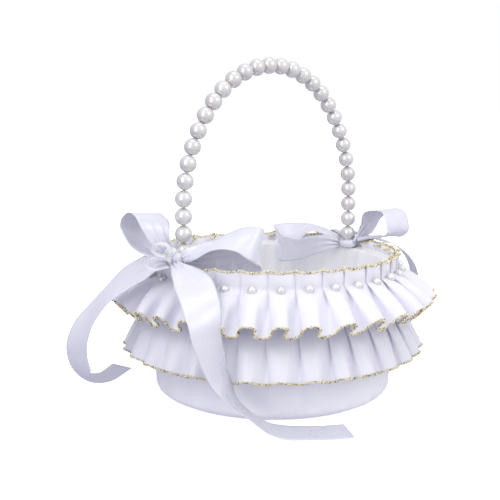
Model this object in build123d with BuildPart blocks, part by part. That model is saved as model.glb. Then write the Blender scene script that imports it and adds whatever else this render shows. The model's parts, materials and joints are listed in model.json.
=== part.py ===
from build123d import *
import math
import os

# Flower girl basket: a satin-covered round tub with two pleated ruffles, a wire
# handle strung with pearls, and a ribbon bow at each foot of the handle.
# Millimetres. The origin is the centre of the underside, +Z is up, and the
# handle stands in the XZ plane.

# Tub and its coverings
TUB_TOP_Z = 96.0
TUB_BOTTOM_Z = 7.0
TUB_TOP_R = 89.0
TUB_BOTTOM_R = 85.6
BOARD = 2.0
BASE_BOARD = 2.5
EDGE_ROUND = 0.6
SATIN = 0.8
GAP = 0.3
RIM_GAP = 0.2
UNDERSIDE_R = 78.0
UNDERSIDE_THICKNESS = 1.6
COVER_CORNER_R = 6.0
COVER_HEM_R = 70.0
LINING_TOP_R = 82.3
LINING_BOTTOM_R = 80.4
FLOOR_PAD_THICKNESS = 2.0

# Ruffles: a flat pleated header above the gathering line, a flared skirt below
PLEATS = 32
PEARL_PHASE = -6.9
HEADER_TOP_Z = 104.0
HEADER_TOP_R = 94.0
GATHER_Z = 92.6
GATHER_R = 91.8
RUFFLE_THICKNESS = 1.2
UPPER_HEM_R = 117.0
UPPER_HEM_Z = 67.5
LOWER_TOP_Z = 64.0
LOWER_TOP_R = 91.7
LOWER_HEM_R = 108.0
LOWER_HEM_Z = 33.5
TRIM_R = 0.45
RUFFLE_PEARL_R = 3.0

# Handle: straight legs, long shoulder arcs and a crown arc, all tangent
HANDLE_HALF_SPAN = 83.5
WIRE_R = 0.8
WIRE_FOOT_Z = 54.0
SHOULDER_Z = 140.0
SHOULDER_R = 110.0
SHOULDER_TURN = 41.0
PEARL_R = 5.85
PEARL_PITCH = 11.9
PEARL_BORE_R = 1.3
BORE_CUT = 3 * PEARL_R
PEARL_COUNT = 30
PEARL_SHIFT = 1.8
WIRE_HOLE_R = 1.05

# Ribbons
RIBBON_WIDTH = 25.0
RIBBON_THICKNESS = 0.7
SECTIONS_PER_SPAN = 4

os.makedirs("parts", exist_ok=True)


def save(name, part):
    part.label = name
    export_step(part, f"parts/{name}.step")


def revolved(points):
    """Ring with the closed outline `points`, given as (radius, height)."""
    with BuildPart() as ring:
        with BuildSketch(Plane.XZ):
            with BuildLine():
                Polyline(*points, close=True)
            make_face()
        revolve(axis=Axis.Z)
    return ring.part


def tub_radius(z):
    """Outer radius of the tub wall at height z."""
    share = (z - TUB_BOTTOM_Z) / (TUB_TOP_Z - TUB_BOTTOM_Z)
    return TUB_BOTTOM_R + share * (TUB_TOP_R - TUB_BOTTOM_R)


# ---------------------------------------------------------------- tub
with BuildPart() as tub_wall:
    with BuildSketch(Plane.XZ):
        with BuildLine():
            Polyline(
                (TUB_BOTTOM_R - BOARD, TUB_BOTTOM_Z),
                (TUB_BOTTOM_R, TUB_BOTTOM_Z),
                (TUB_TOP_R, TUB_TOP_Z),
                (TUB_TOP_R - BOARD, TUB_TOP_Z),
                close=True,
            )
        make_face()
    revolve(axis=Axis.Z)
    rim_edges = tub_wall.edges().group_by(Axis.Z)[-1]
    fillet(rim_edges, EDGE_ROUND)
save("tub_wall", tub_wall.part)

BASE_BOARD_R = TUB_BOTTOM_R - BOARD - GAP
with BuildPart() as tub_base:
    with BuildSketch(Plane.XY.offset(TUB_BOTTOM_Z)):
        Circle(BASE_BOARD_R)
    extrude(amount=BASE_BOARD)
    chamfer(tub_base.edges().group_by(Axis.Z)[0], EDGE_ROUND)
save("tub_base", tub_base.part)

with BuildPart() as underside_disc:
    with BuildSketch(Plane.XY):
        Circle(UNDERSIDE_R)
    extrude(amount=UNDERSIDE_THICKNESS)
    fillet(underside_disc.edges().group_by(Axis.Z)[-1], EDGE_ROUND)
save("underside_disc", underside_disc.part)

# Satin skin: up the wall, round the bottom corner and turned in under the tub
COVER_BOTTOM_Z = UNDERSIDE_THICKNESS + GAP
COVER_TOP_Z = TUB_TOP_Z + RIM_GAP
COVER_TOP_R = tub_radius(COVER_TOP_Z) + GAP + SATIN
CORNER_CENTRE_Z = COVER_BOTTOM_Z + COVER_CORNER_R
COVER_LOW_R = tub_radius(CORNER_CENTRE_Z) + GAP + SATIN
CORNER_CENTRE_R = COVER_LOW_R - COVER_CORNER_R
INNER_CORNER_R = COVER_CORNER_R - SATIN
with BuildPart() as outer_cover:
    with BuildSketch(Plane.XZ):
        with BuildLine():
            Line((COVER_HEM_R, COVER_BOTTOM_Z), (CORNER_CENTRE_R, COVER_BOTTOM_Z))
            CenterArc((CORNER_CENTRE_R, CORNER_CENTRE_Z), COVER_CORNER_R, -90, 90)
            Polyline(
                (COVER_LOW_R, CORNER_CENTRE_Z),
                (COVER_TOP_R, COVER_TOP_Z),
                (COVER_TOP_R - SATIN, COVER_TOP_Z),
                (COVER_LOW_R - SATIN, CORNER_CENTRE_Z),
            )
            CenterArc((CORNER_CENTRE_R, CORNER_CENTRE_Z), INNER_CORNER_R, -90, 90)
            Polyline(
                (CORNER_CENTRE_R, COVER_BOTTOM_Z + SATIN),
                (COVER_HEM_R, COVER_BOTTOM_Z + SATIN),
                (COVER_HEM_R, COVER_BOTTOM_Z),
            )
        make_face()
    revolve(axis=Axis.Z)
save("outer_cover", outer_cover.part)

# Lining: inside the wall, then turned out over the rim of the tub, with a
# small hole at each foot of the handle
FLOOR_Z = TUB_BOTTOM_Z + BASE_BOARD + GAP
LINING_TURN_Z = COVER_TOP_Z + RIM_GAP
LINING_TOP_Z = LINING_TURN_Z + SATIN
with BuildPart() as lining_wall:
    with BuildSketch(Plane.XZ):
        with BuildLine():
            Polyline(
                (LINING_BOTTOM_R - SATIN, FLOOR_Z),
                (LINING_BOTTOM_R, FLOOR_Z),
                (LINING_TOP_R, LINING_TURN_Z),
                (COVER_TOP_R, LINING_TURN_Z),
                (COVER_TOP_R, LINING_TOP_Z),
                (LINING_TOP_R - SATIN, LINING_TOP_Z),
                close=True,
            )
        make_face()
    revolve(axis=Axis.Z)
    with Locations((HANDLE_HALF_SPAN, 0, LINING_TURN_Z), (-HANDLE_HALF_SPAN, 0, LINING_TURN_Z)):
        Cylinder(WIRE_HOLE_R, 4 * SATIN, mode=Mode.SUBTRACT)
save("lining_wall", lining_wall.part)

with BuildPart() as floor_pad:
    with BuildSketch(Plane.XY.offset(FLOOR_Z)):
        Circle(LINING_BOTTOM_R - SATIN - GAP)
    extrude(amount=FLOOR_PAD_THICKNESS)
    fillet(floor_pad.edges().group_by(Axis.Z)[-1], EDGE_ROUND)
save("floor_pad", floor_pad.part)


# ---------------------------------------------------------------- ruffles
def thread_ring(radius, z):
    """Overlocked thread edging, a ring of round section."""
    with BuildPart() as ring:
        with BuildSketch(Plane.XZ):
            with Locations((radius, z)):
                Circle(TRIM_R)
        revolve(axis=Axis.Z)
    return ring.part


SKIRT_BREAK_Z = GATHER_Z - 3.0
upper_ruffle = revolved([
    (GATHER_R - RUFFLE_THICKNESS, SKIRT_BREAK_Z),
    (GATHER_R - RUFFLE_THICKNESS, GATHER_Z),
    (HEADER_TOP_R - RUFFLE_THICKNESS, HEADER_TOP_Z),
    (HEADER_TOP_R, HEADER_TOP_Z),
    (GATHER_R, GATHER_Z),
    (GATHER_R, SKIRT_BREAK_Z),
    (UPPER_HEM_R, UPPER_HEM_Z),
    (UPPER_HEM_R - RUFFLE_THICKNESS, UPPER_HEM_Z),
])
save("upper_ruffle", upper_ruffle)

lower_ruffle = revolved([
    (LOWER_TOP_R - RUFFLE_THICKNESS, LOWER_TOP_Z),
    (LOWER_TOP_R, LOWER_TOP_Z),
    (LOWER_HEM_R, LOWER_HEM_Z),
    (LOWER_HEM_R - RUFFLE_THICKNESS, LOWER_HEM_Z),
])
save("lower_ruffle", lower_ruffle)

TRIM_OFFSET = TRIM_R + 0.05
trim_r = HEADER_TOP_R - RUFFLE_THICKNESS / 2
save("upper_ruffle_top_trim", thread_ring(trim_r, HEADER_TOP_Z + TRIM_OFFSET))
trim_r = UPPER_HEM_R - RUFFLE_THICKNESS / 2
save("upper_ruffle_hem_trim", thread_ring(trim_r, UPPER_HEM_Z - TRIM_OFFSET))
trim_r = LOWER_HEM_R - RUFFLE_THICKNESS / 2
save("lower_ruffle_hem_trim", thread_ring(trim_r, LOWER_HEM_Z - TRIM_OFFSET))

# One small pearl sewn on each pleat along the gathering line
with BuildPart() as ruffle_pearls:
    with Locations((0, 0, GATHER_Z)):
        with PolarLocations(GATHER_R + RUFFLE_PEARL_R + 0.1, PLEATS, start_angle=PEARL_PHASE):
            Sphere(RUFFLE_PEARL_R)
save("ruffle_pearls", ruffle_pearls.part)


# ---------------------------------------------------------------- handle
TURN = math.radians(SHOULDER_TURN)
SHOULDER_CENTRE_X = HANDLE_HALF_SPAN - SHOULDER_R
CROWN_END_X = SHOULDER_CENTRE_X + SHOULDER_R * math.cos(TURN)
CROWN_END_Z = SHOULDER_Z + SHOULDER_R * math.sin(TURN)
CROWN_R = CROWN_END_X / math.cos(TURN)
CROWN_CENTRE_Z = CROWN_END_Z - CROWN_R * math.sin(TURN)
CROWN_HALF_LENGTH = CROWN_R * (math.pi / 2 - TURN)


def handle_station(s):
    """Point on the wire at length s from the crown towards +X, and its slope."""
    side = math.copysign(1, s)
    length = abs(s)
    if length <= CROWN_HALF_LENGTH:
        angle = length / CROWN_R
        x = CROWN_R * math.sin(angle)
        z = CROWN_CENTRE_Z + CROWN_R * math.cos(angle)
    elif length <= CROWN_HALF_LENGTH + SHOULDER_R * TURN:
        angle = math.pi / 2 - TURN + (length - CROWN_HALF_LENGTH) / SHOULDER_R
        x = SHOULDER_CENTRE_X + SHOULDER_R * math.sin(angle)
        z = SHOULDER_Z + SHOULDER_R * math.cos(angle)
    else:
        angle = math.pi / 2
        x = HANDLE_HALF_SPAN
        z = SHOULDER_Z - (length - CROWN_HALF_LENGTH - SHOULDER_R * TURN)
    return side * x, z, side * angle


with BuildPart() as handle_wire:
    with BuildLine(Plane.XZ) as arch:
        Line((HANDLE_HALF_SPAN, WIRE_FOOT_Z), (HANDLE_HALF_SPAN, SHOULDER_Z))
        CenterArc((SHOULDER_CENTRE_X, SHOULDER_Z), SHOULDER_R, 0, SHOULDER_TURN)
        CenterArc((0, CROWN_CENTRE_Z), CROWN_R, SHOULDER_TURN, 180 - 2 * SHOULDER_TURN)
        CenterArc((-SHOULDER_CENTRE_X, SHOULDER_Z), SHOULDER_R, 180 - SHOULDER_TURN, SHOULDER_TURN)
        Line((-HANDLE_HALF_SPAN, SHOULDER_Z), (-HANDLE_HALF_SPAN, WIRE_FOOT_Z))
    with BuildSketch(Plane.XY.offset(WIRE_FOOT_Z)):
        with Locations((HANDLE_HALF_SPAN, 0)):
            Circle(WIRE_R)
    sweep(path=arch.wire())
save("handle_wire", handle_wire.part)


def handle_pearl(s):
    """Bead on the wire, its bore along the wire."""
    x, z, angle = handle_station(s)
    seat = Plane(origin=(x, 0, z), x_dir=(0, 1, 0), z_dir=(math.cos(angle), 0, -math.sin(angle)))
    with BuildPart(seat) as pearl:
        Sphere(PEARL_R)
        Cylinder(PEARL_BORE_R, BORE_CUT, mode=Mode.SUBTRACT)
    return pearl.part


for index in range(PEARL_COUNT):
    place = (index - (PEARL_COUNT - 1) / 2) * PEARL_PITCH + PEARL_SHIFT
    save(f"handle_pearl_{index + 1:02d}", handle_pearl(place))

# Strip of tape that holds each foot of the wire on the inside of the tub wall
TAPE_Z = 70.0
TAPE_HEIGHT = 22.0
TAPE_WIDTH = 16.0
TAPE_THICKNESS = 0.25
TAPE_MIDDLE = HANDLE_HALF_SPAN - WIRE_R - 0.15
for side, name in ((-1, "wire_tape_left"), (1, "wire_tape_right")):
    with BuildPart() as wire_tape:
        with BuildSketch(Plane.XY.offset(TAPE_Z - TAPE_HEIGHT / 2)):
            with Locations((side * TAPE_MIDDLE, 0)):
                Rectangle(TAPE_THICKNESS, TAPE_WIDTH)
        extrude(amount=TAPE_HEIGHT)
    save(name, wire_tape.part)


# ---------------------------------------------------------------- ribbons
def ribbon(stations):
    """Band of ribbon lofted along stations: (point, width direction, width)."""
    points = [Vector(*point) for point, _, _ in stations]
    route = Edge.make_spline(points)
    reached = [route.param_at_point(point) for point in points]
    last = len(stations) - 1
    with BuildPart() as band:
        for step in range(SECTIONS_PER_SPAN * last + 1):
            span = min(step // SECTIONS_PER_SPAN, last - 1)
            share = step / SECTIONS_PER_SPAN - span
            t = reached[span] + share * (reached[span + 1] - reached[span])
            start, end = stations[span], stations[span + 1]
            along = route.tangent_at(t)
            across = Vector(*start[1]).normalized() * (1 - share) + Vector(*end[1]).normalized() * share
            across = across - along * across.dot(along)
            width = start[2] * (1 - share) + end[2] * share
            with BuildSketch(Plane(origin=route.position_at(t), x_dir=across, z_dir=along)):
                Rectangle(width, RIBBON_THICKNESS)
        loft(ruled=True)
    return band.part


W = RIBBON_WIDTH

# Left bow: the knot stands just outside the header, on a band tied to the wire
KNOT_LENGTH = 11.0
KNOT_BORE_R = WIRE_R + 0.3
LEFT_KNOT = (-93.9, -2.5, 109.3)
LEFT_BAND = (-87.5, 0, 102.5)
LEFT_BORE = (-HANDLE_HALF_SPAN, 0, 102.4)
with BuildPart() as left_bow_knot:
    with Locations(LEFT_KNOT):
        Box(8.2, KNOT_LENGTH, 7.8)
    fillet(left_bow_knot.edges(), 1.8)
    with Locations(LEFT_BAND):
        Box(7.6, 7.0, 7.4)
    with Locations(LEFT_BORE):
        Cylinder(KNOT_BORE_R, 2 * KNOT_LENGTH, mode=Mode.SUBTRACT)
save("left_bow_knot", left_bow_knot.part)

save("left_bow_back_loop", ribbon([
    ((-92.5, 4.7, 111.5), (1, 0.2, 0.2), 7),
    ((-96.5, 4.5, 121.5), (0.9, 0.4, 0), 14),
    ((-98.6, 7, 130), (0.95, 0.3, 0), 21),
    ((-100, 13, 135.5), (1, 0.2, -0.1), W),
    ((-100.4, 21.7, 137.7), (1, 0, -0.1), W),
    ((-99, 31, 133.5), (1, 0, -0.1), W),
    ((-97, 35.5, 126.5), (1, 0, -0.2), W),
    ((-97, 33.5, 118.5), (1, 0.1, -0.2), W),
    ((-97.8, 25.5, 113.2), (1, 0.1, -0.1), 21),
    ((-96.5, 14, 110), (1, 0, 0.1), 12),
    ((-92.5, 4.9, 107.8), (1, 0, 0.2), 6),
]))

save("left_bow_front_loop", ribbon([
    ((-92, -9, 110), (0.3, 0.3, 1), 8),
    ((-87.5, -16, 114), (0.5, 0.6, 0.5), 15),
    ((-81, -26.3, 118.6), (0.6, 0.8, 0.1), 22),
    ((-75, -34.6, 122.2), (0.6, 0.75, 0.25), W),
    ((-69, -42, 123), (0.55, 0.6, 0.55), W),
    ((-62.5, -47.5, 120.5), (0.35, 0.3, 0.9), W),
    ((-55, -46, 116), (0.1, 0, 1), W),
    ((-52, -36, 110.5), (0, 0, 1), W),
    ((-59, -26, 107.5), (0, 0, 1), 23),
    ((-70.5, -17.5, 107), (0, 0, 1), 17),
    ((-81, -12, 107), (0.1, 0.1, 1), 11),
    ((-89, -9, 108), (0.2, 0.2, 1), 8),
]))

save("left_bow_outer_tail", ribbon([
    ((-100.3, -1.5, 107.5), (0.2, 0.6, 1), 7),
    ((-104, 5, 105), (0.1, 0.8, 0.55), 12),
    ((-107.5, 13.5, 101.5), (0.2, 0.9, 0.35), 21),
    ((-115, 25, 93.5), (0.25, 0.95, 0.2), W),
    ((-123, 35, 82), (0.3, 0.95, 0), W),
    ((-130, 44.5, 68), (0.25, 0.95, 0), W),
    ((-134, 51, 56), (0.1, 1, 0), W),
    ((-135.3, 55, 45), (0, 1, -0.2), W),
    ((-134.2, 57, 35), (0, 1, -0.25), W),
    ((-131, 56.5, 26), (0, 0.95, -0.3), W),
    ((-126, 51.8, 20.5), (0.3, 0.85, -0.5), W),
    ((-119.5, 43.3, 22), (0.6, 0.55, -0.6), W),
    ((-112.5, 34, 30), (0.95, 0.15, -0.35), W),
]))

save("left_bow_front_tail", ribbon([
    ((-98.7, -8.5, 106.6), (0.3, -1, 0), 7),
    ((-101, -21, 104), (0.6, -0.8, 0), 17),
    ((-104, -35.5, 95.5), (0.6, -0.8, 0), W),
    ((-109.5, -48, 82), (0.55, -0.85, 0), W),
    ((-112, -57, 68), (0.6, -0.8, 0), W),
    ((-110, -62, 52.5), (0.8, -0.6, 0), W),
    ((-104.5, -63.5, 39), (0.9, -0.35, -0.15), W),
    ((-97.5, -65, 28), (0.95, 0, -0.25), W),
    ((-88.5, -66, 18.5), (0.9, 0.3, -0.3), W),
    ((-81.5, -71, 10), (0.8, 0.5, -0.25), W),
    ((-74.5, -76.5, 4.3), (0.75, 0.65, -0.1), W),
    ((-66, -82, 1.4), (0.7, 0.7, 0), W),
    ((-57, -90, 1), (0.65, 0.76, 0), W),
    ((-46, -99, 1), (0.6, 0.8, 0), W),
    ((-33, -107, 1), (0.5, 0.85, 0), W),
]))

# Small sheer bow tied over the left knot
save("sheer_upper_loop", ribbon([
    ((-102.5, -8.5, 112.5), (0.9, 0.45, 0), 4),
    ((-103.5, -8, 117.5), (0.9, 0.45, 0), 6),
    ((-107, -5, 120.8), (0.9, 0.45, 0), 6),
    ((-110.5, -2, 118.5), (0.9, 0.45, 0), 6),
    ((-110, -3.2, 114.4), (0.9, 0.45, 0), 6),
    ((-105, -7.8, 111.6), (0.9, 0.45, 0), 4),
]))
save("sheer_lower_loop", ribbon([
    ((-102.5, -10, 108), (0.9, 0.45, 0), 4),
    ((-107.5, -7.5, 110), (0.9, 0.45, 0), 6),
    ((-113.5, -3.5, 109.4), (0.9, 0.45, 0), 6),
    ((-115.5, -2, 106), (0.9, 0.45, 0), 6),
    ((-111.5, -5.5, 103.2), (0.9, 0.45, 0), 6),
    ((-104.5, -9.5, 104.6), (0.9, 0.45, 0), 4),
]))

# Right bow: the knot is tied round the wire just above the rim
RIGHT_KNOT = (83.3, 0, 100.3)
RIGHT_BORE = (HANDLE_HALF_SPAN, 0, 100.3)
with BuildPart() as right_bow_knot:
    with Locations(RIGHT_KNOT):
        Box(10.6, KNOT_LENGTH, 4.6)
    fillet(right_bow_knot.edges(), 1.5)
    with Locations(RIGHT_BORE):
        Cylinder(KNOT_BORE_R, 2 * KNOT_LENGTH, mode=Mode.SUBTRACT)
save("right_bow_knot", right_bow_knot.part)

save("right_bow_back_loop", ribbon([
    ((78, 6.5, 101.5), (0.1, 0.2, 1), 6),
    ((76, 15.5, 107.5), (0.6, 0.7, 0.3), 13),
    ((71, 27.5, 110.5), (0.7, 0.7, 0.15), 22),
    ((63.2, 37.5, 107.6), (0.6, 0.6, 0.5), W),
    ((53, 43.5, 103.5), (0.3, 0.4, 0.85), W),
    ((44, 40.5, 100), (0, 0, 1), W),
    ((41, 31.5, 97.5), (-0.3, -0.25, 0.9), W),
    ((46, 21, 96.7), (-0.5, -0.4, 0.75), W),
    ((56.6, 12.2, 99.6), (-0.55, -0.35, 0.75), 22),
    ((67.9, 7, 101), (-0.4, -0.2, 0.9), 13),
    ((76, 4, 100.5), (-0.2, 0, 1), 6),
]))

save("right_bow_front_loop", ribbon([
    ((83, -7, 101.3), (1, 0.2, 0.2), 6),
    ((89.3, -7.4, 107.2), (1, 0.1, 0), 8),
    ((96, -6, 111.5), (1, 0.1, -0.1), 13),
    ((102.5, -5, 116), (1, 0, -0.1), 21),
    ((106.5, -7.5, 121.8), (1, 0, -0.1), W),
    ((108.3, -15.4, 126.8), (1, 0, 0), W),
    ((105.8, -27, 125.8), (1, 0, 0), W),
    ((102.7, -33.7, 120.3), (1, -0.1, -0.1), W),
    ((100.8, -36, 114.3), (1, -0.1, -0.1), W),
    ((99.2, -33.5, 109.3), (1, 0, -0.1), 24),
    ((95.5, -25.5, 106.9), (1, 0.1, 0), 19),
    ((89.5, -16.5, 106), (1, 0.2, 0), 11),
    ((84, -9.6, 104.2), (1, 0.2, 0.2), 5),
]))

save("right_bow_outer_tail", ribbon([
    ((89.9, 1.5, 101), (0.2, 1, 0), 4),
    ((91.6, 3, 106.2), (0.2, 1, 0), 6),
    ((98.5, 4, 106.8), (0.4, 0.9, 0), 10),
    ((109, -5.5, 103), (0.6, 0.8, 0), 18),
    ((117, -20, 98), (0.6, 0.8, 0), W),
    ((122, -31, 88), (0.6, 0.8, 0), W),
    ((124, -36, 75), (0.6, 0.8, 0), W),
    ((123, -36, 58), (0.6, 0.8, 0), W),
    ((119, -33, 40), (0.5, 0.85, 0), W),
    ((114, -28, 22), (0.4, 0.9, 0), W),
    ((112, -26, 8), (0.4, 0.9, 0), W),
]))

save("right_bow_back_tail", ribbon([
    ((88.5, 7.4, 101.5), (-0.4, 1, 0), 4),
    ((91, 11, 106.4), (-0.3, 1, 0), 6),
    ((97.5, 20, 107), (-0.3, 1, 0), 13),
    ((105, 29, 98), (-0.3, 1, 0), W),
    ((111, 36, 84), (-0.3, 1, 0), W),
    ((114.5, 41, 68), (-0.35, 1, 0), W),
    ((113.5, 43, 50), (-0.35, 1, 0), W),
    ((110, 43, 32), (-0.35, 1, 0), W),
    ((108, 43, 15), (-0.35, 1, 0), W),
]))
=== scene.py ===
import json
import math

import bpy
import numpy as np
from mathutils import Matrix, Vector


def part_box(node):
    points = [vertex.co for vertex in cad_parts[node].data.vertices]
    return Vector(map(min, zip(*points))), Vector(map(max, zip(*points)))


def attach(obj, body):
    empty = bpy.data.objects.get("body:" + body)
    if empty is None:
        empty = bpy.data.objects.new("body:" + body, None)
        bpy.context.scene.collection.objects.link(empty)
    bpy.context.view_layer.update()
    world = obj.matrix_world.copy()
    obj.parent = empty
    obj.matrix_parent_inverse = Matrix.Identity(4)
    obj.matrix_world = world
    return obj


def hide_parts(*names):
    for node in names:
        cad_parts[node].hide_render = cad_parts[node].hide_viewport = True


# Flower girl basket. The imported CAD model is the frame; every soft piece is built
# here as cloth, in metres, where the frame's boxes say.
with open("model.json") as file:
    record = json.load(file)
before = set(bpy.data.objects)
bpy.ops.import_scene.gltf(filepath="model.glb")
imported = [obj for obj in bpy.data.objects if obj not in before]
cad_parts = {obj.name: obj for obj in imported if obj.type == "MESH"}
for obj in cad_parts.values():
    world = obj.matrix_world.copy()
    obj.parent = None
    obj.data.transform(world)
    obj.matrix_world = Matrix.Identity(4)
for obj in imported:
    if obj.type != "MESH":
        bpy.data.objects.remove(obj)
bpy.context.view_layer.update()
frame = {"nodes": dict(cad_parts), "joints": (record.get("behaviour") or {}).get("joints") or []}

MM = 0.001
TAU = 2 * math.pi
BODY = "basket"
rng = np.random.default_rng(11)


# ------------------------------------------------------------------ camera
CAMERA_AZIMUTH = math.radians(-43.9)
CAMERA_ELEVATION = math.radians(7.85)
CAMERA_DISTANCE = 0.683
LOOK_HEIGHT = 0.120
LENS = 66.6
AIM = Vector((-0.0135, 0.0099, 0.1041))

camera_back = Vector((
    math.sin(CAMERA_AZIMUTH) * math.cos(CAMERA_ELEVATION),
    -math.cos(CAMERA_AZIMUTH) * math.cos(CAMERA_ELEVATION),
    math.sin(CAMERA_ELEVATION),
))
camera_data = bpy.data.cameras.new("camera")
camera_data.lens = LENS
camera = bpy.data.objects.new("camera", camera_data)
bpy.context.scene.collection.objects.link(camera)
camera.location = Vector((0, 0, LOOK_HEIGHT)) + camera_back * CAMERA_DISTANCE
camera.rotation_euler = (AIM - camera.location).to_track_quat("-Z", "Y").to_euler()
bpy.context.scene.camera = camera


# ------------------------------------------------------------------ materials
def new_material(name):
    material = bpy.data.materials.new(name)
    material.use_nodes = True
    nodes = material.node_tree.nodes
    shader = nodes["Principled BSDF"]
    return material, material.node_tree, shader


def add_node(tree, kind, **inputs):
    node = tree.nodes.new(kind)
    for name, value in inputs.items():
        node.inputs[name.replace("_", " ")].default_value = value
    return node


def colour_variation(tree, shader, source, light, dark):
    """Base colour that drifts between two tones with `source`."""
    ramp = tree.nodes.new("ShaderNodeValToRGB")
    ramp.color_ramp.elements[0].color = (*dark, 1)
    ramp.color_ramp.elements[1].color = (*light, 1)
    ramp.color_ramp.elements[0].position = 0.3
    ramp.color_ramp.elements[1].position = 0.7
    tree.links.new(source, ramp.inputs["Fac"])
    tree.links.new(ramp.outputs["Color"], shader.inputs["Base Color"])
    return ramp


def roughness_variation(tree, shader, source, low, high):
    spread = tree.nodes.new("ShaderNodeMapRange")
    spread.inputs["To Min"].default_value = low
    spread.inputs["To Max"].default_value = high
    tree.links.new(source, spread.inputs["Value"])
    tree.links.new(spread.outputs["Result"], shader.inputs["Roughness"])


def bump(tree, shader, source, strength, distance, under=None):
    node = add_node(tree, "ShaderNodeBump", Strength=strength, Distance=distance)
    tree.links.new(source, node.inputs["Height"])
    if under is not None:
        tree.links.new(under.outputs["Normal"], node.inputs["Normal"])
    tree.links.new(node.outputs["Normal"], shader.inputs["Normal"])
    return node


THREAD = 0.25 * MM
WAVES_PER_MM = 45


def satin(name, light, dark, roughness, creases=0.25, specular=0.55, softness=0.35):
    """Woven satin: floats along one thread direction, soft sheen, faint creases."""
    material, tree, shader = new_material(name)
    place = tree.nodes.new("ShaderNodeTexCoord")
    drift = add_node(tree, "ShaderNodeTexNoise", Scale=38.0, Detail=3.0)
    tree.links.new(place.outputs["Object"], drift.inputs["Vector"])
    colour_variation(tree, shader, drift.outputs["Fac"], light, dark)
    roughness_variation(tree, shader, drift.outputs["Fac"], roughness - 0.04, roughness + 0.06)
    crumple = add_node(tree, "ShaderNodeTexNoise", Scale=90.0, Detail=2.0, Roughness=0.45)
    tree.links.new(place.outputs["Object"], crumple.inputs["Vector"])
    first = bump(tree, shader, crumple.outputs["Fac"], creases, 0.6 * MM)
    weave = add_node(tree, "ShaderNodeTexWave", Scale=1.0, Distortion=0.6, Detail=1.0)
    weave.wave_type = "BANDS"
    weave.bands_direction = "Y"
    stretch = tree.nodes.new("ShaderNodeMapping")
    weave_scale = MM / THREAD * WAVES_PER_MM
    stretch.inputs["Scale"].default_value = (weave_scale, weave_scale, 1)
    tree.links.new(place.outputs["UV"], stretch.inputs["Vector"])
    tree.links.new(stretch.outputs["Vector"], weave.inputs["Vector"])
    bump(tree, shader, weave.outputs["Fac"], 0.06, 0.05 * MM, under=first)
    shader.inputs["Sheen Weight"].default_value = 0.25
    shader.inputs["Sheen Roughness"].default_value = 0.35
    shader.inputs["Specular IOR Level"].default_value = specular
    shader.inputs["Subsurface Weight"].default_value = softness
    shader.inputs["Subsurface Radius"].default_value = (1.0, 1.0, 1.05)
    shader.inputs["Subsurface Scale"].default_value = 3 * MM
    return material


COVER = satin("cover_satin", (0.92, 0.915, 0.975), (0.885, 0.88, 0.95), 0.34, softness=0.1)
LINING = satin("lining_satin", (0.965, 0.965, 0.985), (0.945, 0.945, 0.97), 0.45)
RUFFLE = satin("ruffle_satin", (0.86, 0.855, 0.93), (0.825, 0.82, 0.905), 0.42)
# Ribbon satin: the same white satin given a darker, bluer base, so that wherever the strong gloss misses the
# lights it shows bluish shade: painted shade.
RIBBON = satin("ribbon_satin_painted_shade", (0.69, 0.69, 0.765), (0.64, 0.64, 0.73), 0.27,
               creases=0.16, specular=1.0, softness=0.0)


def make_gold_thread():
    """Metallic overlock thread, pale gold, flecked near-black at random: the near-black is painted shade
    standing for the dark gaps between the windings.
    """
    material, tree, shader = new_material("gold_thread")
    place = tree.nodes.new("ShaderNodeTexCoord")
    noise = add_node(tree, "ShaderNodeTexNoise", Scale=1000.0, Detail=1.0)
    tree.links.new(place.outputs["Object"], noise.inputs["Vector"])
    # Near-black tone: painted shade between the thread's windings, scattered by noise rather than following
    # the turns.
    ramp = colour_variation(tree, shader, noise.outputs["Fac"], (0.96, 0.91, 0.70), (0.13, 0.11, 0.06))
    ramp.color_ramp.elements[0].position = 0.38
    ramp.color_ramp.elements[1].position = 0.62
    middle = ramp.color_ramp.elements.new(0.45)
    middle.color = (0.78, 0.68, 0.40, 1)
    roughness_variation(tree, shader, noise.outputs["Fac"], 0.45, 0.30)
    bump(tree, shader, noise.outputs["Fac"], 0.3, 0.1 * MM)
    shader.inputs["Metallic"].default_value = 0.25
    return material


def make_pearl(name, light, dark):
    """Lacquered imitation pearl with a soft nacre body under a clear coat."""
    material, tree, shader = new_material(name)
    place = tree.nodes.new("ShaderNodeTexCoord")
    noise = add_node(tree, "ShaderNodeTexNoise", Scale=70.0, Detail=1.0)
    tree.links.new(place.outputs["Object"], noise.inputs["Vector"])
    colour_variation(tree, shader, noise.outputs["Fac"], light, dark)
    roughness_variation(tree, shader, noise.outputs["Fac"], 0.22, 0.28)
    bump(tree, shader, noise.outputs["Fac"], 0.01, 0.02 * MM)
    shader.inputs["Metallic"].default_value = 0.45
    shader.inputs["Coat Weight"].default_value = 1.0
    shader.inputs["Coat Roughness"].default_value = 0.06
    shader.inputs["Coat IOR"].default_value = 1.9
    shader.inputs["Sheen Weight"].default_value = 0.1
    return material


def make_organza():
    """Sheer stiffened net: fine crossed threads, mostly see-through."""
    material, tree, shader = new_material("organza")
    place = tree.nodes.new("ShaderNodeTexCoord")
    noise = add_node(tree, "ShaderNodeTexNoise", Scale=220.0, Detail=3.0)
    tree.links.new(place.outputs["Object"], noise.inputs["Vector"])
    colour_variation(tree, shader, noise.outputs["Fac"], (0.95, 0.96, 0.97), (0.88, 0.90, 0.93))
    roughness_variation(tree, shader, noise.outputs["Fac"], 0.3, 0.45)
    net = add_node(tree, "ShaderNodeTexVoronoi", Scale=2600.0)
    tree.links.new(place.outputs["Object"], net.inputs["Vector"])
    bump(tree, shader, net.outputs["Distance"], 0.3, 0.1 * MM)
    shader.inputs["Alpha"].default_value = 0.42
    shader.inputs["Sheen Weight"].default_value = 0.5
    return material


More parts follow.
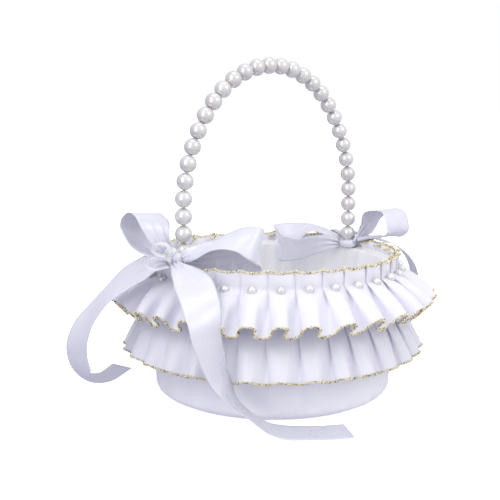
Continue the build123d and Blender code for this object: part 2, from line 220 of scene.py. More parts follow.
def make_plain(name, light, dark, roughness, scale, depth, metallic=0.0):
    """Board, tape or drawn wire: mottled tone with a fine grain."""
    material, tree, shader = new_material(name)
    place = tree.nodes.new("ShaderNodeTexCoord")
    noise = add_node(tree, "ShaderNodeTexNoise", Scale=scale, Detail=4.0)
    tree.links.new(place.outputs["Object"], noise.inputs["Vector"])
    colour_variation(tree, shader, noise.outputs["Fac"], light, dark)
    roughness_variation(tree, shader, noise.outputs["Fac"], roughness - 0.05, roughness + 0.05)
    bump(tree, shader, noise.outputs["Fac"], 0.4, depth)
    shader.inputs["Metallic"].default_value = metallic
    return material


GOLD = make_gold_thread()
PEARL = make_pearl("pearl", (0.68, 0.67, 0.65), (0.60, 0.59, 0.575))
SMALL_PEARL = make_pearl("small_pearl", (0.70, 0.70, 0.69), (0.64, 0.64, 0.635))
ORGANZA = make_organza()
BOARD = make_plain("fibre_board", (0.74, 0.64, 0.50), (0.62, 0.52, 0.40), 0.85, 300.0, 0.2 * MM)
TAPE = make_plain("cloth_tape", (0.90, 0.90, 0.88), (0.82, 0.82, 0.80), 0.8, 900.0, 0.1 * MM)
WIRE = make_plain("steel_wire", (0.90, 0.90, 0.91), (0.80, 0.80, 0.82), 0.3, 500.0, 0.02 * MM, 0.3)


# ------------------------------------------------------------------ meshes
CLOTH_THICKNESS = 0.3 * MM


def add_piece(name, mesh, body):
    """Scene object for a mesh, riding on a body."""
    piece = bpy.data.objects.new(name, mesh)
    bpy.context.scene.collection.objects.link(piece)
    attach(piece, body)
    return piece


def smooth_mesh(name, points, faces, material):
    mesh = bpy.data.meshes.new(name)
    mesh.from_pydata(points.tolist(), [], faces.tolist())
    mesh.polygons.foreach_set("use_smooth", np.ones(len(faces), bool))
    mesh.materials.append(material)
    return mesh


def grid_piece(name, points, material, uv_size, wrap=False, thickness=CLOTH_THICKNESS):
    """Cloth piece from an array of points (rows, columns, 3); uv_size is the flat cloth in mm."""
    rows, columns = points.shape[:2]
    spans = columns if wrap else columns - 1
    r, c = np.meshgrid(np.arange(rows - 1), np.arange(spans), indexing="ij")
    r, c = r.ravel(), c.ravel()
    right = (c + 1) % columns
    faces = np.stack([r * columns + c, r * columns + right,
                      (r + 1) * columns + right, (r + 1) * columns + c], axis=1)
    mesh = smooth_mesh(name, points.reshape(-1, 3), faces, material)
    u = np.stack([c, c + 1, c + 1, c], axis=1) / spans
    v = np.stack([r, r, r + 1, r + 1], axis=1) / (rows - 1)
    width, height = uv_size
    layer = mesh.uv_layers.new(name="cut")
    layer.data.foreach_set("uv", np.stack([u * width, v * height], axis=2).ravel())
    piece = add_piece(name, mesh, BODY)
    if thickness:
        solid = piece.modifiers.new("thickness", "SOLIDIFY")
        solid.thickness = thickness
        solid.offset = 0
    return piece


def smooth_closed(values, passes):
    """Rounds a sampled closed curve by averaging each sample with its neighbours."""
    for _ in range(passes):
        values = 0.5 * values + 0.25 * (np.roll(values, 1) + np.roll(values, -1))
    return values


def smoothstep(x):
    x = np.clip(x, 0, 1)
    return x * x * (3 - 2 * x)


# ------------------------------------------------------------------ sizes from the frame
def top_of(node):
    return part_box(node)[1].z


def radius_of(node):
    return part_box(node)[1].x


def middle_z(node):
    low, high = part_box(node)
    return (low.z + high.z) / 2


PLEATS = 32
PLEAT = TAU / PLEATS
CREASE_PHASE = math.radians(-1.5)
HEADER_TOP = top_of("upper_ruffle")
HEADER_R = radius_of("upper_ruffle_top_trim")
GATHER_Z = middle_z("ruffle_pearls")
SMALL_PEARL_R = (top_of("ruffle_pearls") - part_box("ruffle_pearls")[0].z) / 2
GATHER_R = 91.8 * MM
UPPER_HEM_R = radius_of("upper_ruffle")
UPPER_HEM_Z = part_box("upper_ruffle")[0].z
LOWER_TOP_Z = top_of("lower_ruffle")
LOWER_TOP_R = 91.2 * MM
LOWER_HEM_R = radius_of("lower_ruffle")
LOWER_HEM_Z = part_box("lower_ruffle")[0].z
RIM_Z = top_of("lining_wall")
RIM_R = radius_of("lining_wall")


# ------------------------------------------------------------------ pleated ruffles
PANEL = 18.3 * MM
FOLD = 8.5 * MM
STRIP_PER_PLEAT = PANEL + 2 * FOLD
SAMPLES = 28
HEM_SHIFT = 0.16  # share of a pleat by which the hem waves run ahead of the creases
HEM_LEAN = 0.2  # how far the outer folds lean over the inner ones


def knife_pleats(samples, jitter):
    """Angle and layer depth (0 outside, 1 deepest) of a strip folded in knife pleats."""
    t = np.arange(samples) / samples
    stops = np.array([0, PANEL, PANEL + FOLD, PANEL + FOLD + 0.8 * MM, STRIP_PER_PLEAT]) / STRIP_PER_PLEAT
    fold_angle = FOLD / GATHER_R
    angle = np.interp(t, stops, [0, PLEAT, PLEAT + fold_angle, PLEAT + fold_angle, PLEAT])
    depth = np.interp(t, stops, [0, 0.35, 1.0, 0.9, 0.35])
    angles, depths = [], []
    for pleat in range(PLEATS):
        shift = jitter[pleat]
        after = jitter[(pleat + 1) % PLEATS]
        drift = shift + (after - shift) * np.clip(angle / PLEAT, 0, 1)
        angles.append(pleat * PLEAT + angle + drift)
        depths.append(depth)
    angles = np.concatenate(angles)
    unrolled = angles - np.arange(len(angles)) * TAU / len(angles)
    unrolled = smooth_closed(unrolled, 2)
    return unrolled + np.arange(len(angles)) * TAU / len(angles), smooth_closed(np.concatenate(depths), 2)


def waved_hem(bend, crest):
    """Angle and in-and-out offset of a hem that waves once for each pleat."""
    count = PLEATS * SAMPLES
    t = np.arange(count) / SAMPLES
    strength = np.interp(t, np.arange(PLEATS + 1) + 0.5, np.append(bend, bend[0]), period=PLEATS)
    heading = -strength * np.sin(TAU * (t - crest))
    step = STRIP_PER_PLEAT / SAMPLES
    along = np.cumsum(np.cos(heading)) * step
    offset = np.cumsum(np.sin(heading)) * step
    offset -= np.linspace(0, offset[-1], count)
    window = np.ones(SAMPLES) / SAMPLES
    padded = np.concatenate([offset[-SAMPLES:], offset, offset[:SAMPLES]])
    offset = offset - np.convolve(padded, window, mode="same")[SAMPLES:-SAMPLES]
    even = t / PLEATS
    share = along / along[-1]
    return (0.75 * share + 0.25 * even) * TAU, offset


def ruffle_surface(levels, bend, open_power, open_most, jitter_deg, depth_low, depth_high):
    """Points of a ruffle.

    levels: list of (radius, height, normal r, normal z, share open, rise above the gathering line).
    """
    jitter = np.radians(rng.normal(0, jitter_deg, PLEATS))
    crest = PANEL / STRIP_PER_PLEAT / 2
    pleat_angle, depth = knife_pleats(SAMPLES, jitter)
    hem_angle, wave = waved_hem(bend, crest)
    t = (np.arange(PLEATS * SAMPLES) % SAMPLES) / SAMPLES
    panel = np.clip(t * STRIP_PER_PLEAT / PANEL, 0, 1)
    hidden = smoothstep((t * STRIP_PER_PLEAT - PANEL) / (0.5 * FOLD))
    rows = []
    for radius, height, nr, nz, share, rise in levels:
        opening = open_most * share ** open_power
        leaning = hem_angle + HEM_SHIFT * PLEAT + HEM_LEAN * wave / radius
        angle = CREASE_PHASE + (1 - opening) * pleat_angle + opening * leaning
        fold = depth_low + (depth_high - depth_low) * rise
        out = -(1 - opening) * depth * fold + opening * wave * nr
        lift = opening * wave * nz
        if rise > 0:
            edge = 1.0 - 6.0 * panel + 5.4 * panel ** 2 - 2.8 * hidden
            lift = lift + rise * edge * MM
        rows.append(np.stack([
            (radius + out) * np.cos(angle), (radius + out) * np.sin(angle),
            np.full_like(angle, height) + lift], axis=1))
    return np.array(rows)


def skirt_levels(start, end, count, bulge):
    """Levels from the gathering line to the hem, a cone with a slight belly."""
    levels = []
    slope = np.array([end[0] - start[0], end[1] - start[1]])
    normal = np.array([-slope[1], slope[0]]) / np.linalg.norm(slope)
    for share in np.linspace(0, 1, count):
        belly = bulge * math.sin(math.pi * share)
        r = start[0] + slope[0] * share + normal[0] * belly
        z = start[1] + slope[1] * share + normal[1] * belly
        levels.append((r, z, normal[0], normal[1], share, 0.0))
    return levels


THREAD_PITCH = 1.7 * MM
THREAD_WINDING = 0.62 * MM
THREAD_RADIUS = 0.46 * MM
POINTS_PER_TURN = 6
THREAD_SIDES = 5


def unit(vectors):
    return vectors / np.linalg.norm(vectors, axis=1)[:, None]


def along_closed(path):
    """Direction of a closed path at each of its points."""
    return unit(np.roll(path, -1, axis=0) - np.roll(path, 1, axis=0))


def helix_trim(name, path):
    """Overlocked edge: a gold thread wound round the cloth's edge along a closed path."""
    length = np.linalg.norm(np.roll(path, -1, axis=0) - path, axis=1)
    total = length.sum()
    reach = np.concatenate([[0], np.cumsum(length)])
    closed = np.vstack([path, path[:1]])
    count = int(total / THREAD_PITCH) * POINTS_PER_TURN
    s = np.arange(count) / count * total
    centre = np.stack([np.interp(s, reach, closed[:, k]) for k in range(3)], axis=1)
    along = along_closed(centre)
    side = unit(np.cross(along, np.array([0, 0, 1.0])))
    rise = np.cross(side, along)
    angle = np.arange(count) / POINTS_PER_TURN * TAU
    spin = np.cos(angle)[:, None] * side + np.sin(angle)[:, None] * rise
    thread = centre + THREAD_WINDING * spin
    second = np.cross(along_closed(thread), spin)
    rings = []
    for k in range(THREAD_SIDES):
        a = TAU * k / THREAD_SIDES
        rings.append(thread + THREAD_RADIUS * (math.cos(a) * spin + math.sin(a) * second))
    r, c = np.meshgrid(np.arange(THREAD_SIDES), np.arange(count), indexing="ij")
    r, c = r.ravel(), c.ravel()
    next_r, next_c = (r + 1) % THREAD_SIDES, (c + 1) % count
    faces = np.stack([r * count + c, r * count + next_c, next_r * count + next_c, next_r * count + c], axis=1)
    mesh = smooth_mesh(name, np.array(rings).reshape(-1, 3), faces, GOLD)
    return add_piece(name, mesh, BODY)


def uneven(base, spread):
    return base * (1 + spread * rng.uniform(-1, 1, PLEATS))


HEADER_HEIGHT = 11.4 * MM
HEADER_ROWS = 7
SKIRT_ROWS = 24
UNDER_RUFFLE = 4 * MM


def edged_ruffle(node, points, height, edges):
    """Ruffle cloth with a gold thread along each edge; edges: (row of points, thread, node)."""
    length = PLEATS * STRIP_PER_PLEAT
    piece = grid_piece(node + "_cloth", points, RUFFLE, (length / MM, height / MM), wrap=True)
    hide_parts(node)
    for row, name, trim_node in edges:
        thread = helix_trim(name, points[row])
        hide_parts(trim_node)


def make_upper_ruffle():
    header = []
    for rise in np.linspace(1, 0, HEADER_ROWS)[:-1]:
        radius = GATHER_R + (HEADER_R - GATHER_R) * rise
        header.append((radius, GATHER_Z + (HEADER_TOP - GATHER_Z) * rise, 1, 0, 0.0, rise))
    hem = (UPPER_HEM_R - 2 * MM, UPPER_HEM_Z + 2.0 * MM)
    skirt = skirt_levels((GATHER_R, GATHER_Z), hem, SKIRT_ROWS, 1.6 * MM)
    bend = uneven(1.72, 0.12)
    points = ruffle_surface(header + skirt, bend, open_power=0.75, open_most=1.0, jitter_deg=0.5,
                            depth_low=2.2 * MM, depth_high=8.0 * MM)
    height = HEADER_HEIGHT + math.hypot(UPPER_HEM_R - GATHER_R, GATHER_Z - UPPER_HEM_Z)
    edged_ruffle("upper_ruffle", points, height, [
        (0, "upper_ruffle_top_thread", "upper_ruffle_top_trim"),
        (-1, "upper_ruffle_hem_thread", "upper_ruffle_hem_trim"),
    ])


def make_lower_ruffle():
    top_z = LOWER_TOP_Z + UNDER_RUFFLE
    hem = (LOWER_HEM_R - 1.0 * MM, LOWER_HEM_Z + 0.5 * MM)
    skirt = skirt_levels((LOWER_TOP_R, top_z), hem, SKIRT_ROWS, 1.2 * MM)
    bend = uneven(1.2, 0.25)
    points = ruffle_surface(skirt, bend, open_power=0.9, open_most=0.75, jitter_deg=0.8,
                            depth_low=2.4 * MM, depth_high=2.4 * MM)
    height = math.hypot(LOWER_HEM_R - LOWER_TOP_R, top_z - LOWER_HEM_Z)
    edged_ruffle("lower_ruffle", points, height, [
        (-1, "lower_ruffle_hem_thread", "lower_ruffle_hem_trim"),
    ])


make_upper_ruffle()
make_lower_ruffle()


# ------------------------------------------------------------------ tub coverings
def soft_waves(angle, count, strength, seed):
    """Sum of a few periodic waves of uneven spacing."""
    local = np.random.default_rng(seed)
    total = np.zeros_like(angle)
    for _ in range(count):
        waves = local.integers(9, 46)
        total += local.uniform(0.3, 1.0) * np.sin(waves * angle + local.uniform(0, TAU))
    return strength * total / math.sqrt(count)


def make_cover():
    """Satin skin of the tub, pulled round the bottom corner and turned in."""
    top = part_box("outer_cover")[1]
    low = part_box("outer_cover")[0].z
    corner = 7 * MM
    base_r = 86.8 * MM
    angle = np.linspace(0, TAU, 384, endpoint=False)
    rows = []
    pull = soft_waves(angle, 12, 1.3 * MM, 3)
    fine = soft_waves(2 * angle + 1.3, 9, 0.7 * MM, 5)
    for share in np.linspace(0, 1, 26):
        z = top.z - (top.z - low - corner) * share
        r = top.x + (base_r - top.x) * share
        slack = math.sin(math.pi * min(1, share * 1.05)) ** 0.6
        sag = 0.9 * MM * math.sin(math.pi * share)
        rows.append((r + sag + slack * (pull + fine * math.sin(5 * share)), np.full_like(angle, z)))
    for turn in np.linspace(0, math.pi / 2, 9)[1:]:
        r = base_r - corner + corner * math.cos(turn)
        z = low + corner - corner * math.sin(turn)
        gather = 0.5 * (fine + pull) * math.cos(turn)
        rows.append((r + gather, np.full_like(angle, z) + 0.25 * np.abs(fine) * math.sin(turn)))
    for share in np.linspace(0, 1, 5)[1:]:
        r = base_r - corner - share * 9 * MM
        rows.append((np.full_like(angle, r), np.full_like(angle, low) + 0.25 * np.abs(fine) * (1 - share)))
    points = np.array([np.stack([r * np.cos(angle), r * np.sin(angle), z], axis=1) for r, z in rows])
    piece = grid_piece("tub_cover_cloth", points, COVER, (545, 110), wrap=True)
    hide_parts("outer_cover")


def make_lining():
    """Lining gathered in soft upright folds and turned out over the rim."""
    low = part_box("lining_wall")[0]
    inner_r = 81.2 * MM
    lip = 3.2 * MM
    drop = 3.0 * MM
    angle = np.linspace(0, TAU, 512, endpoint=False)
    folds = soft_waves(angle, 14, 1.5 * MM, 21)
    folds = np.where(folds > 0, folds, 0.5 * folds)
    fine = soft_waves(angle + 0.4, 10, 0.5 * MM, 23)
    rows = []
    for share in np.linspace(0, 1, 6)[:-1]:
        r = RIM_R - share * (RIM_R - inner_r - lip)
        lift = 1.2 * MM * math.sin(math.pi * min(1, share * 1.2))
        rows.append((np.full_like(angle, r), np.full_like(angle, RIM_Z - 0.6 * MM + lift) + 0.15 * fine))
    for turn in np.linspace(0, math.pi / 2, 6)[1:]:
        r = inner_r + lip * (1 - math.sin(turn))
        z = RIM_Z - drop * (1 - math.cos(turn))
        rows.append((r - 0.6 * folds * math.sin(turn), np.full_like(angle, z)))
    for share in np.linspace(0, 1, 24)[1:]:
        z = RIM_Z - drop - (RIM_Z - drop - low.z - 2.4 * MM) * share
        r = inner_r - 1.9 * MM * share
        strength = 0.6 + 0.5 * math.sin(math.pi * share)
        rows.append((r - strength * (folds + 1.2 * MM) - fine * math.sin(4 * share), np.full_like(angle, z)))
    points = np.array([np.stack([r * np.cos(angle), r * np.sin(angle), z], axis=1) for r, z in rows])
    piece = grid_piece("lining_cloth", points, LINING, (520, 100), wrap=True)
    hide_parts("lining_wall")


def make_floor_pad():
    """Satin-covered pad on the floor of the basket, crowned and softly creased."""
    low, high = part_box("floor_pad")
    radius = high.x - 0.8 * MM
    angle = np.linspace(0, TAU, 160, endpoint=False)
    rows = []
    profile = [(0.001, 1.0), (0.2, 1.0), (0.4, 0.98), (0.6, 0.95), (0.75, 0.9), (0.87, 0.8), (0.94, 0.62),
               (0.985, 0.35), (1.0, 0.0), (0.985, -0.3), (0.94, -0.42), (0.6, -0.45), (0.001, -0.45)]
    crease = soft_waves(angle, 8, 0.35 * MM, 31)
    for reach, height in profile:
        z = low.z + 1.1 * MM + height * 1.9 * MM
        wave = crease * math.sin(math.pi * min(1, reach)) if height > 0 else 0 * crease
        rows.append((np.full_like(angle, radius * reach), z + wave * 0.5))
    points = np.array([np.stack([r * np.cos(angle), r * np.sin(angle), z], axis=1) for r, z in rows])
    piece = grid_piece("floor_pad_cushion", points, LINING, (480, 80), wrap=True, thickness=0)
    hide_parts("floor_pad")


make_cover()
make_lining()
make_floor_pad()


# ------------------------------------------------------------------ pearls
WIRE_BORE = 0.95 * MM
THREAD_BORE = 0.4 * MM


def bead_mesh(radius, bore, around=40, along=22):
    """Bead of revolution about Z: a ball with a bored hole."""
    start = math.asin(bore / radius)
    lip = 0.25 * MM
    profile = [(bore, radius * math.cos(start) - lip * 2), (bore, radius * math.cos(start) - lip)]
    for k in range(along + 1):
        a = start * 1.12 + (math.pi - 2.24 * start) * k / along
        profile.append((radius * math.sin(a), radius * math.cos(a)))
    profile += [(bore, -radius * math.cos(start) + lip), (bore, -radius * math.cos(start) + lip * 2)]
    profile = np.array(profile)
    angle = np.arange(around) * TAU / around
    points = np.stack([
        profile[:, :1] * np.cos(angle), profile[:, :1] * np.sin(angle),
        np.repeat(profile[:, 1:], around, axis=1)], axis=2).reshape(-1, 3)
    rows = len(profile)
    r, c = np.meshgrid(np.arange(rows), np.arange(around), indexing="ij")
    r, c = r.ravel(), c.ravel()
    right, below = (c + 1) % around, (r + 1) % rows
    faces = np.stack([r * around + c, below * around + c, below * around + right, r * around + right], axis=1)
    return points, faces


def make_handle_pearls():
    """One bead for each joint, bored along the joint's own axis."""
    for joint in frame["joints"]:
        body = joint["child"]
        node = "handle_" + body
        low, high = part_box(node)
        radius = (high.y - low.y) / 2 + 0.08 * MM
        points, faces = bead_mesh(radius, WIRE_BORE)
        turn = Vector((0, 0, 1)).rotation_difference(Vector(joint["axis"])).to_matrix()
        placed = points @ np.array(turn).T + np.array(joint["pos_m"])
        mesh = smooth_mesh(body + "_bead", placed, faces, PEARL)
        piece = add_piece(body + "_bead", mesh, body)
        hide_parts(node)


PEARL_PHASE = math.radians(-6.9)


def make_ruffle_pearls():
    """One small pearl on each pleat, standing on the gathered cloth."""
    all_points, all_faces = [], []
    points, faces = bead_mesh(SMALL_PEARL_R + 0.2 * MM, THREAD_BORE, around=28, along=14)
    side = np.array([[1, 0, 0], [0, 0, -1.0], [0, 1, 0]])
    stand = GATHER_R + SMALL_PEARL_R - 0.3 * MM
    for k in range(PLEATS):
        a = PEARL_PHASE + PLEAT * k + math.radians(rng.normal(0, 0.35))
        z = GATHER_Z + rng.normal(0, 0.35) * MM
        spin = np.array([[math.cos(a), -math.sin(a), 0], [math.sin(a), math.cos(a), 0], [0, 0, 1]])
        centre = np.array([stand * math.cos(a), stand * math.sin(a), z])
        all_points.append(points @ (spin @ side).T + centre)
        all_faces.append(faces + k * len(points))
    mesh = smooth_mesh("ruffle_pearl_row", np.vstack(all_points), np.vstack(all_faces), SMALL_PEARL)
    piece = add_piece("ruffle_pearl_row", mesh, BODY)
    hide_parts("ruffle_pearls")


make_handle_pearls()
make_ruffle_pearls()


# ------------------------------------------------------------------ ribbons
RIBBON_WIDTH = 25.0
LEFT_KNOT = (-93.5, -2.5, 108.8)
RIGHT_KNOT = (83.0, -1.0, 100.6)
SHEER_WIDTH = 10.5


def spline(values, count):
    """Catmull-Rom curve through the rows of `values`, sampled `count` times."""
    values = np.asarray(values, float)
    ends = np.vstack([2 * values[0] - values[1], values, 2 * values[-1] - values[-2]])
    t = np.linspace(0, len(values) - 1, count)
    i = np.minimum(t.astype(int), len(values) - 2)
    f = (t - i)[:, None]
    p0, p1, p2, p3 = ends[i], ends[i + 1], ends[i + 2], ends[i + 3]
    return 0.5 * (2 * p1 + (p2 - p0) * f + (2 * p0 - 5 * p1 + 4 * p2 - p3) * f ** 2
                  + (3 * p1 - p0 - 3 * p2 + p3) * f ** 3)


def ribbon(name, node, stations, material=RIBBON, cup=0.0):
    """Ribbon through stations (point, width direction, width), all in millimetres."""
    count = 14 * (len(stations) - 1) + 1
    centre = spline([s[0] for s in stations], count)
    across = spline([np.array(s[1], float) / np.linalg.norm(s[1]) for s in stations], count)
    width = spline([[s[2]] for s in stations], count)
    along = np.gradient(centre, axis=0)
    along /= np.linalg.norm(along, axis=1)[:, None]
    across -= along * np.sum(across * along, axis=1)[:, None]
    across /= np.linalg.norm(across, axis=1)[:, None]
    face = np.cross(along, across)
    lanes = np.linspace(-0.5, 0.5, 17)
    full = max(s[2] for s in stations)
    gathered = np.clip(1 - width / full, 0, 1) * full / RIBBON_WIDTH
    points = np.zeros((count, len(lanes), 3))
    reach = np.concatenate([[0], np.cumsum(np.linalg.norm(np.diff(centre, axis=0), axis=1))])
    for k, lane in enumerate(lanes):
        pucker = gathered[:, 0] * 1.6 * math.cos(3 * TAU * lane) + cup * (1 - 4 * lane ** 2)
        points[:, k] = centre + across * width * lane + face * pucker[:, None]
    length = reach[-1]
    piece = grid_piece(name, points * MM, material, (RIBBON_WIDTH, length))
    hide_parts(node)


W = RIBBON_WIDTH

ribbon("left_back_loop_ribbon", "left_bow_back_loop", [
    ((-92.5, 4.7, 111.5), (1, 0.2, 0.2), 7),
    ((-99.2, 5.5, 121.5), (0.9, -0.15, 0), 15),
    ((-101, 8, 130), (0.95, -0.1, 0), 22),
    ((-101.2, 13, 135.5), (1, 0, -0.1), W),
    ((-100.4, 21.7, 137.7), (1, 0, -0.1), W),
    ((-99, 31, 133.5), (1, 0, -0.1), W),
    ((-97, 35.5, 126.5), (1, 0, -0.2), W),
    ((-97, 33.5, 118.5), (1, 0.1, -0.2), W),
    ((-97.8, 25.5, 113.2), (1, 0.1, -0.1), 21),
    ((-96.5, 14, 110), (1, 0, 0.1), 12),
    ((-92.5, 4.9, 107.8), (1, 0, 0.2), 6),
])
ribbon("left_front_loop_ribbon", "left_bow_front_loop", [
    ((-92, -9, 110), (0.3, 0.3, 1), 8),
    ((-87.5, -16, 114), (0.5, 0.6, 0.5), 15),
    ((-81, -26.3, 118.6), (0.6, 0.8, 0.1), 22),
    ((-75, -34.6, 122.2), (0.6, 0.75, 0.25), W),
    ((-69, -42, 123), (0.55, 0.6, 0.55), W),
    ((-62.5, -47.5, 120.5), (0.35, 0.3, 0.9), W),
    ((-55, -46, 116), (0.1, 0, 1), W),
    ((-52, -36, 110.5), (0, 0, 1), W),
    ((-59, -26, 107.5), (0, 0, 1), 23),
    ((-70.5, -17.5, 107), (0, 0, 1), 17),
    ((-81, -12, 107), (0.1, 0.1, 1), 11),
    ((-89, -9, 108), (0.2, 0.2, 1), 8),
])
ribbon("left_outer_tail_ribbon", "left_bow_outer_tail", [
    ((-100.3, -1.5, 107.5), (0.2, 0.6, 1), 7),
    ((-104, 5, 105), (0.1, 0.8, 0.55), 12),
    ((-107.5, 13.5, 101.5), (0.2, 0.9, 0.35), 21),
    ((-115, 25, 93.5), (0.25, 0.95, 0.2), W),
    ((-123, 35, 82), (0.3, 0.95, 0), W),
    ((-130, 44.5, 68), (0.25, 0.95, 0), W),
    ((-134, 51, 56), (0.1, 1, 0), W),
    ((-135.3, 55, 45), (0, 1, -0.2), W),
    ((-134.2, 57, 35), (0, 1, -0.25), W),
    ((-131, 56.5, 26), (0.1, 0.92, -0.35), W),
    ((-126, 51.8, 20.5), (0.35, 0.8, -0.5), W),
    ((-119.5, 43.3, 22), (0.6, 0.6, -0.55), W),
    ((-112.5, 34, 30), (0.85, 0.35, -0.4), W),
])
ribbon("left_front_tail_ribbon", "left_bow_front_tail", [
    ((-98.7, -8.5, 106.6), (0.3, -1, 0), 7),
    ((-101, -21, 104), (0.6, -0.8, 0), 17),
    ((-104.5, -35.5, 98), (0.65, -0.75, 0), W),
    ((-111, -50, 90), (0.85, -0.5, 0), W),
    ((-114.5, -59, 78), (1, -0.15, -0.1), W),
    ((-113, -60.5, 65.5), (1, 0.1, -0.1), W),
    ((-106, -60.5, 47.5), (0.95, 0.25, -0.2), W),
    ((-100, -60.5, 36), (0.9, 0.4, -0.25), W),
    ((-93, -62.5, 23.5), (0.8, 0.5, -0.25), W),
    ((-86.5, -66, 15.5), (0.8, 0.55, -0.3), W),
    ((-81.5, -71, 10), (0.8, 0.6, -0.2), W),
    ((-74.5, -76.5, 4.3), (0.75, 0.65, -0.1), W),
    ((-66, -82, 1.4), (0.75, 0.7, 0), W),
    ((-57, -90, 1), (0.65, 0.75, 0), W),
    ((-46, -99, 1), (0.6, 0.8, 0), W),
    ((-33, -107, 1), (0.5, 0.85, 0), W),
])
ribbon("sheer_upper_loop_net", "sheer_upper_loop", [
    ((-101.5, -8.5, 113), (0.75, 0.65, 0), 8),
    ((-102.5, -8, 118), (0.75, 0.65, 0), SHEER_WIDTH),
    ((-106.5, -5, 120.5), (0.75, 0.65, 0), SHEER_WIDTH),
    ((-110.5, -2, 118.5), (0.75, 0.65, 0), SHEER_WIDTH),
    ((-110, -3.2, 114.4), (0.75, 0.65, 0), SHEER_WIDTH),
    ((-105, -7.8, 111.6), (0.75, 0.65, 0), 8),
], material=ORGANZA, cup=0.6)
band_x, band_y, band_z = LEFT_KNOT
ribbon("sheer_knot_band", "sheer_upper_loop", [
    ((band_x + 6.3 * math.cos(turn), band_y, band_z + 6.1 * math.sin(turn)), (0.1, 1, 0.15), SHEER_WIDTH)
    for turn in np.linspace(0, TAU, 9)
], material=ORGANZA)
ribbon("sheer_lower_loop_net", "sheer_lower_loop", [
    ((-102.5, -10, 109), (0.75, 0.65, 0), 8),
    ((-107.5, -7.5, 111.6), (0.75, 0.65, 0), SHEER_WIDTH),
    ((-113.5, -3.5, 111), (0.75, 0.65, 0), SHEER_WIDTH),
    ((-116.5, -1.5, 107.5), (0.75, 0.65, 0), SHEER_WIDTH),
    ((-112, -5.5, 104), (0.75, 0.65, 0), SHEER_WIDTH),
    ((-104.5, -9.5, 105), (0.75, 0.65, 0), 8),
], material=ORGANZA, cup=0.6)
ribbon("right_back_loop_ribbon", "right_bow_back_loop", [
    ((78, 6.5, 101.5), (0.1, 0.2, 1), 6),
    ((76, 15.5, 107.5), (0.6, 0.7, 0.3), 13),
    ((71, 27.5, 110.5), (0.7, 0.7, 0.15), 22),
    ((63.2, 37.5, 107.6), (0.6, 0.6, 0.5), W),
    ((53, 43.5, 103.5), (0.3, 0.4, 0.85), W),
    ((44, 40.5, 100), (0, 0, 1), W),
    ((41, 31.5, 97.5), (-0.3, -0.25, 0.9), W),
    ((46, 21, 96.7), (-0.5, -0.4, 0.75), W),
    ((56.6, 12.2, 99.6), (-0.55, -0.35, 0.75), 22),
    ((67.9, 7, 101), (-0.4, -0.2, 0.9), 13),
    ((76, 4, 100.5), (-0.2, 0, 1), 6),
])
ribbon("right_front_loop_ribbon", "right_bow_front_loop", [
    ((83, -7, 101.3), (1, 0.2, 0.2), 6),
    ((89.3, -7.4, 107.2), (1, 0.1, 0), 8),
    ((96, -6, 111.5), (1, 0.1, -0.1), 13),
    ((102.5, -5, 116), (1, 0, -0.1), 21),
    ((106.5, -7.5, 121.8), (1, 0, -0.1), W),
    ((108.3, -15.4, 126.8), (1, 0, 0), W),
    ((105.8, -27, 125.8), (1, 0, 0), W),
    ((102.7, -33.7, 120.3), (1, -0.1, -0.1), W),
    ((100.8, -36, 114.3), (1, -0.1, -0.1), W),
    ((99.2, -33.5, 109.3), (1, 0, -0.1), 24),
    ((95.5, -25.5, 106.9), (1, 0.1, 0), 19),
    ((89.5, -16.5, 106), (1, 0.2, 0), 11),
    ((84, -9.6, 104.2), (1, 0.2, 0.2), 5),
])
ribbon("right_outer_tail_ribbon", "right_bow_outer_tail", [
    ((89.9, 1.5, 101), (0.2, 1, 0), 4),
    ((91.6, 3, 106.2), (0.2, 1, 0), 6),
    ((98.5, 4, 106.8), (0.4, 0.9, 0), 10),
    ((109, -5.5, 103), (0.6, 0.8, 0), 18),
    ((117, -20, 98), (0.6, 0.8, 0), W),
    ((122, -31, 88), (0.6, 0.8, 0), W),
    ((124, -36, 75), (0.6, 0.8, 0), W),
    ((123, -36, 58), (0.6, 0.8, 0), W),
    ((119, -33, 40), (0.5, 0.85, 0), W),
    ((114, -28, 22), (0.4, 0.9, 0), W),
    ((112, -26, 8), (0.4, 0.9, 0), W),
])
ribbon("right_back_tail_ribbon", "right_bow_back_tail", [
    ((88.5, 7.4, 101.5), (-0.4, 1, 0), 4),
    ((91, 11, 106.4), (-0.3, 1, 0), 6),
    ((97.5, 20, 107), (-0.3, 1, 0), 13),
    ((105, 29, 98), (-0.3, 1, 0), W),
    ((111, 36, 84), (-0.3, 1, 0), W),
    ((114.5, 41, 68), (-0.35, 1, 0), W),
    ((113.5, 43, 50), (-0.35, 1, 0), W),
    ((110, 43, 32), (-0.35, 1, 0), W),
    ((108, 43, 15), (-0.35, 1, 0), W),
])


def knot(name, node, centre, size, lean):
    """Ribbon wound tight round the bow's middle: a pillow with wound creases."""
    across = np.linspace(0, math.pi, 25)
    round_ = np.linspace(0, TAU, 48, endpoint=False)
    u, v = np.meshgrid(across, round_, indexing="ij")
    fullness = np.sin(u) ** 0.55
    crease = 1 + 0.07 * np.sin(9 * u + 1.5 * np.sin(v)) * fullness
    x = size[0] * fullness * crease * np.cos(v)
    y = -size[1] * np.cos(u)
    z = size[2] * fullness * crease * np.sin(v)
    turn = math.radians(lean)
    z, y = z * math.cos(turn) - y * math.sin(turn), z * math.sin(turn) + y * math.cos(turn)
    points = np.stack([x, y, z], axis=2) * MM + np.array(centre) * MM
    piece = grid_piece(name, points, RIBBON, (20, 20), wrap=True, thickness=0)
    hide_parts(node)


knot("left_knot_wrap", "left_bow_knot", LEFT_KNOT, size=(5.2, 6.4, 5.0), lean=8)
knot("right_knot_wrap", "right_bow_knot", RIGHT_KNOT, size=(6.0, 6.6, 3.6), lean=0)


# ------------------------------------------------------------------ carried-over nodes
def repaint(node, material):
    piece = frame["nodes"][node]
    piece.data.materials.clear()
    piece.data.materials.append(material)


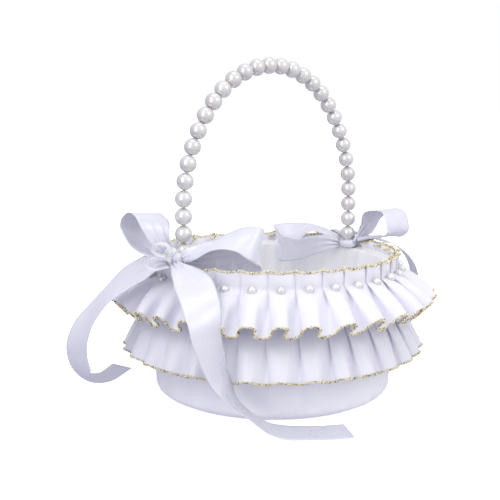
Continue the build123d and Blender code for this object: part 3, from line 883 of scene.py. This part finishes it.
repaint("tub_wall", BOARD)
repaint("tub_base", BOARD)
repaint("underside_disc", COVER)
repaint("handle_wire", WIRE)
repaint("wire_tape_left", TAPE)
repaint("wire_tape_right", TAPE)


# ------------------------------------------------------------------ floor and light
FLOOR_GLOW = 0.62
DIM_SIDE = (0.45, 0.45, 0.57, 1)
BRIGHT_SIDE = (1.12, 1.11, 1.14, 1)
LIGHT_TARGET = Vector((0, 0, 0.11))


def make_floor():
    """White paper under the basket, bright enough to run out into the white surroundings."""
    bpy.ops.mesh.primitive_circle_add(vertices=96, radius=12.0, fill_type="NGON", location=(0, 0, 0))
    floor = bpy.context.object
    floor.name = "floor"
    material, tree, shader = new_material("floor_white")
    place = tree.nodes.new("ShaderNodeTexCoord")
    noise = add_node(tree, "ShaderNodeTexNoise", Scale=4.0, Detail=2.0)
    tree.links.new(place.outputs["Object"], noise.inputs["Vector"])
    colour_variation(tree, shader, noise.outputs["Fac"], (0.86, 0.86, 0.87), (0.84, 0.84, 0.85))
    shader.inputs["Roughness"].default_value = 0.9
    shader.inputs["Specular IOR Level"].default_value = 0.1
    shader.inputs["Emission Color"].default_value = (1, 1, 1, 1)
    shader.inputs["Emission Strength"].default_value = FLOOR_GLOW
    floor.data.materials.append(material)
    floor.visible_diffuse = False
    floor.visible_glossy = False


def camera_direction(right, up, back):
    """World direction of a direction given as seen from the camera."""
    side = Vector((math.cos(CAMERA_AZIMUTH), math.sin(CAMERA_AZIMUTH), 0))
    return (side * right + camera_back.cross(side) * up + camera_back * back).normalized()


def area_light(name, direction, distance, size, power):
    """Soft box aimed at the middle of the basket, placed by a direction."""
    data = bpy.data.lights.new(name, "AREA")
    data.shape = "SQUARE"
    data.size = size
    data.energy = power
    light = bpy.data.objects.new(name, data)
    bpy.context.scene.collection.objects.link(light)
    light.location = LIGHT_TARGET + direction * distance
    light.rotation_euler = (LIGHT_TARGET - light.location).to_track_quat("-Z", "Y").to_euler()


def make_world():
    """Soft surroundings, dim and bluish on one side and bright on the other; white behind."""
    world = bpy.data.worlds.new("studio")
    bpy.context.scene.world = world
    world.use_nodes = True
    tree = world.node_tree
    place = tree.nodes.new("ShaderNodeTexCoord")
    facing = tree.nodes.new("ShaderNodeVectorMath")
    facing.operation = "DOT_PRODUCT"
    facing.inputs[1].default_value = camera_direction(0.5, 0.75, 0.35)
    tree.links.new(place.outputs["Generated"], facing.inputs[0])
    spread = tree.nodes.new("ShaderNodeMapRange")
    spread.inputs["From Min"].default_value = -1.0
    tree.links.new(facing.outputs["Value"], spread.inputs["Value"])
    ramp = tree.nodes.new("ShaderNodeValToRGB")
    ramp.color_ramp.elements[0].color = DIM_SIDE
    ramp.color_ramp.elements[1].color = BRIGHT_SIDE
    tree.links.new(spread.outputs["Result"], ramp.inputs["Fac"])
    background = tree.nodes["Background"]
    tree.links.new(ramp.outputs["Color"], background.inputs["Color"])
    seen = tree.nodes.new("ShaderNodeBackground")
    seen.inputs["Color"].default_value = (1, 1, 1, 1)
    path = tree.nodes.new("ShaderNodeLightPath")
    mix = tree.nodes.new("ShaderNodeMixShader")
    tree.links.new(path.outputs["Is Camera Ray"], mix.inputs["Fac"])
    tree.links.new(background.outputs["Background"], mix.inputs[1])
    tree.links.new(seen.outputs["Background"], mix.inputs[2])
    tree.links.new(mix.outputs["Shader"], tree.nodes["World Output"].inputs["Surface"])


make_floor()
make_world()
area_light("key", camera_direction(0.72, 0.45, 0.52), distance=1.25, size=0.60, power=2.2)
area_light("second", camera_direction(-0.40, 0.55, 0.73), distance=1.25, size=0.40, power=2.8)
area_light("fill", camera_direction(-0.50, 0.10, 0.86), distance=1.6, size=1.1, power=4.0)
area_light("top", camera_direction(0.05, 0.98, 0.15), distance=1.25, size=0.7, power=1.6)
bpy.context.scene.view_settings.view_transform = "Standard"
